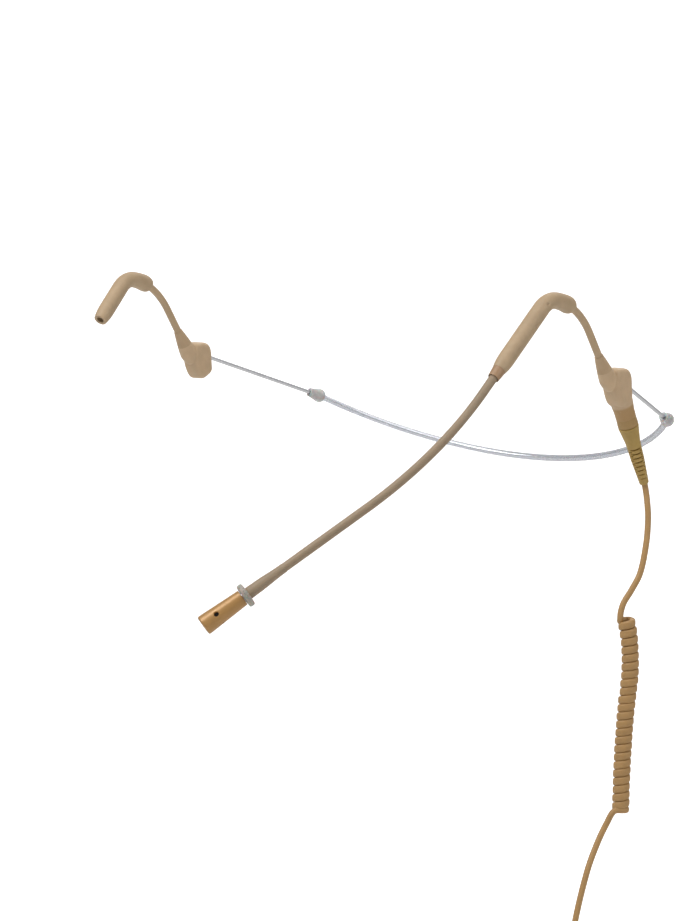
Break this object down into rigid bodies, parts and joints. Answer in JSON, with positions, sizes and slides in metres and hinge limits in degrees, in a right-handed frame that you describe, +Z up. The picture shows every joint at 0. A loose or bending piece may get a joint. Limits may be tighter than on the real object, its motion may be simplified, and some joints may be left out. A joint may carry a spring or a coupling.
{
  "type": "headset microphone",
  "caption": "Ear-hook headset microphone with a bendable cheek boom, conical capsule cap, wire neckband, coiled lead and body-pack connector.",
  "frame": {"origin": "midpoint between the wearer's ear canals", "axes": "+X towards the wearer's left, where the boom is; -Y forwards, the way the wearer faces; +Z up"},
  "size_m": [0.1638, 0.2017, 0.3096],
  "materials": {
    "beige_tube": "matte flesh-beige, slightly darker boom jacket",
    "beige_sleeve": "soft satin flesh-beige silicone",
    "collar_tan": "satin orange-brown",
    "capsule_tan": "fine matte ochre paint",
    "housing_beige": "satin moulded flesh-beige",
    "boot_ochre": "matte ochre soft plastic",
    "cable_beige": "matte flesh-beige jacket",
    "clear_silicone": "cloudy translucent silicone",
    "clear_sleeve": "clear tubing",
    "chrome_wire": "bright drawn spring wire",
    "steel": "turned stainless steel",
    "dark_rubber": "black",
    "black_mesh": "fine black acoustic mesh",
    "brass_parts": "gold-plated contacts",
    "copper_core": "soft copper alloy core",
    "black_plastic": "black insulator",
    "white_insulator": "off-white insulator",
    "board_green": "glass-fibre board",
    "film_metal": "metallised film and plate",
    "shell_black": "satin black connector shell",
    "lead_jacket": "thin screened lead"
  },
  "bodies": {
    "ear_hook": {"hook_collar": "collar_tan", "collar_seal": "dark_rubber", "hook_sleeve": "beige_sleeve", "hook_lining": "steel", "hook_anchor": "steel", "hook_wire": "steel", "hook_tube": "beige_tube", "hook_lead": "lead_jacket", "tube_gland": "housing_beige", "housing_outer": "housing_beige", "housing_inner": "housing_beige", "wire_block": "steel", "terminal_board": "board_green", "cable_socket": "collar_tan", "socket_insert": "black_plastic", "socket_contacts": "brass_parts"},
    "boom_slider": {"boom_ferrule": "steel"},
    "boom_rear": {"boom_tube_rear": "beige_tube", "boom_core_rear": "copper_core", "boom_lead_rear": "lead_jacket"},
    "boom_front": {"boom_tube_front": "beige_tube", "boom_core_front": "copper_core", "boom_lead_front": "lead_jacket", "boom_tip": "beige_tube", "capsule_sleeve": "steel", "capsule_can": "film_metal", "diaphragm": "film_metal", "backplate": "brass_parts", "capsule_board": "board_green"},
    "cap": {"capsule_cap": "capsule_tan", "cap_mesh": "black_mesh"},
    "sweat_ring": {"moisture_ring": "clear_silicone"},
    "plug": {"plug_shell": "steel", "plug_insert": "white_insulator", "plug_pins": "brass_parts", "cable_boot": "boot_ochre", "cable_upper": "cable_beige", "cable_coil": "cable_beige"},
    "lead": {"cable_lower": "cable_beige", "connector_boot": "dark_rubber", "connector_nut": "shell_black", "cable_clamp": "black_plastic", "connector_shell": "shell_black", "connector_insert": "black_plastic", "connector_contacts": "brass_parts", "latch_leaf": "steel"},
    "latch": {"latch_button": "steel"},
    "left_wire": {"stub_wire_left": "chrome_wire"},
    "band": {"adjuster_bead_left": "clear_silicone", "grip_bush_left": "brass_parts", "band_sleeve": "clear_sleeve", "band_wire": "chrome_wire", "adjuster_bead_right": "clear_silicone", "grip_bush_right": "brass_parts"},
    "right_wire": {"stub_wire_right": "chrome_wire"},
    "right_hook": {"right_block": "housing_beige", "right_gland": "housing_beige", "right_hook_wire": "steel", "right_hook_tube": "beige_tube", "right_hook_sleeve": "beige_sleeve"}
  },
  "joints": [
    {"name": "boom_slide", "type": "slide", "parent": "ear_hook", "child": "boom_slider", "axis": [-0.065, -0.7426, -0.6665], "range_m": [-0.004, 0.006]},
    {"name": "boom_turn", "type": "hinge", "parent": "boom_slider", "child": "boom_rear", "pos_m": [0.076, -0.01015, 0.0148], "axis": [-0.065, -0.7426, -0.6665], "range_deg": [-25, 25]},
    {"name": "boom_bend", "type": "hinge", "parent": "boom_rear", "child": "boom_front", "pos_m": [0.06044, -0.04721, -0.01908], "axis": [0.0372, 0.6657, -0.7453], "range_deg": [-15, 20]},
    {"name": "cap_pull", "type": "slide", "parent": "boom_front", "child": "cap", "axis": [-0.552, -0.608, -0.5706], "range_m": [0, 0.012]},
    {"name": "ring_slide", "type": "slide", "parent": "boom_front", "child": "sweat_ring", "axis": [0.552, 0.608, 0.5706], "range_m": [0, 0.004]},
    {"name": "plug_pull", "type": "slide", "parent": "ear_hook", "child": "plug", "axis": [0, 0.4399, -0.898], "range_m": [0, 0.01]},
    {"name": "coil_stretch", "type": "slide", "parent": "plug", "child": "lead", "axis": [0, 0, -1], "range_m": [0, 0.06], "stiffness_N_per_m": 12, "springref_m": -0.03, "deforming": ["cable_coil"]},
    {"name": "latch_press", "type": "slide", "parent": "lead", "child": "latch", "axis": [-1, 0, 0], "range_m": [0, 0.0007], "stiffness_N_per_m": 12, "springref_m": -0.0003},
    {"name": "left_wire_slide", "type": "slide", "parent": "ear_hook", "child": "left_wire", "axis": [-0.2606, 0.9111, -0.3193], "range_m": [0, 0.003]},
    {"name": "left_band_turn", "type": "hinge", "parent": "left_wire", "child": "band", "pos_m": [0.066, 0.0921, -0.005], "axis": [-0.2606, 0.9111, -0.3193], "range_deg": [-12, 12]},
    {"name": "right_band_turn", "type": "hinge", "parent": "band", "child": "right_wire", "pos_m": [-0.066, 0.0921, -0.005], "axis": [-0.2606, -0.9111, 0.3193], "range_deg": [-12, 12]},
    {"name": "right_wire_slide", "type": "slide", "parent": "right_wire", "child": "right_hook", "axis": [-0.2606, -0.9111, 0.3193], "range_m": [0, 0.003]}
  ]
}
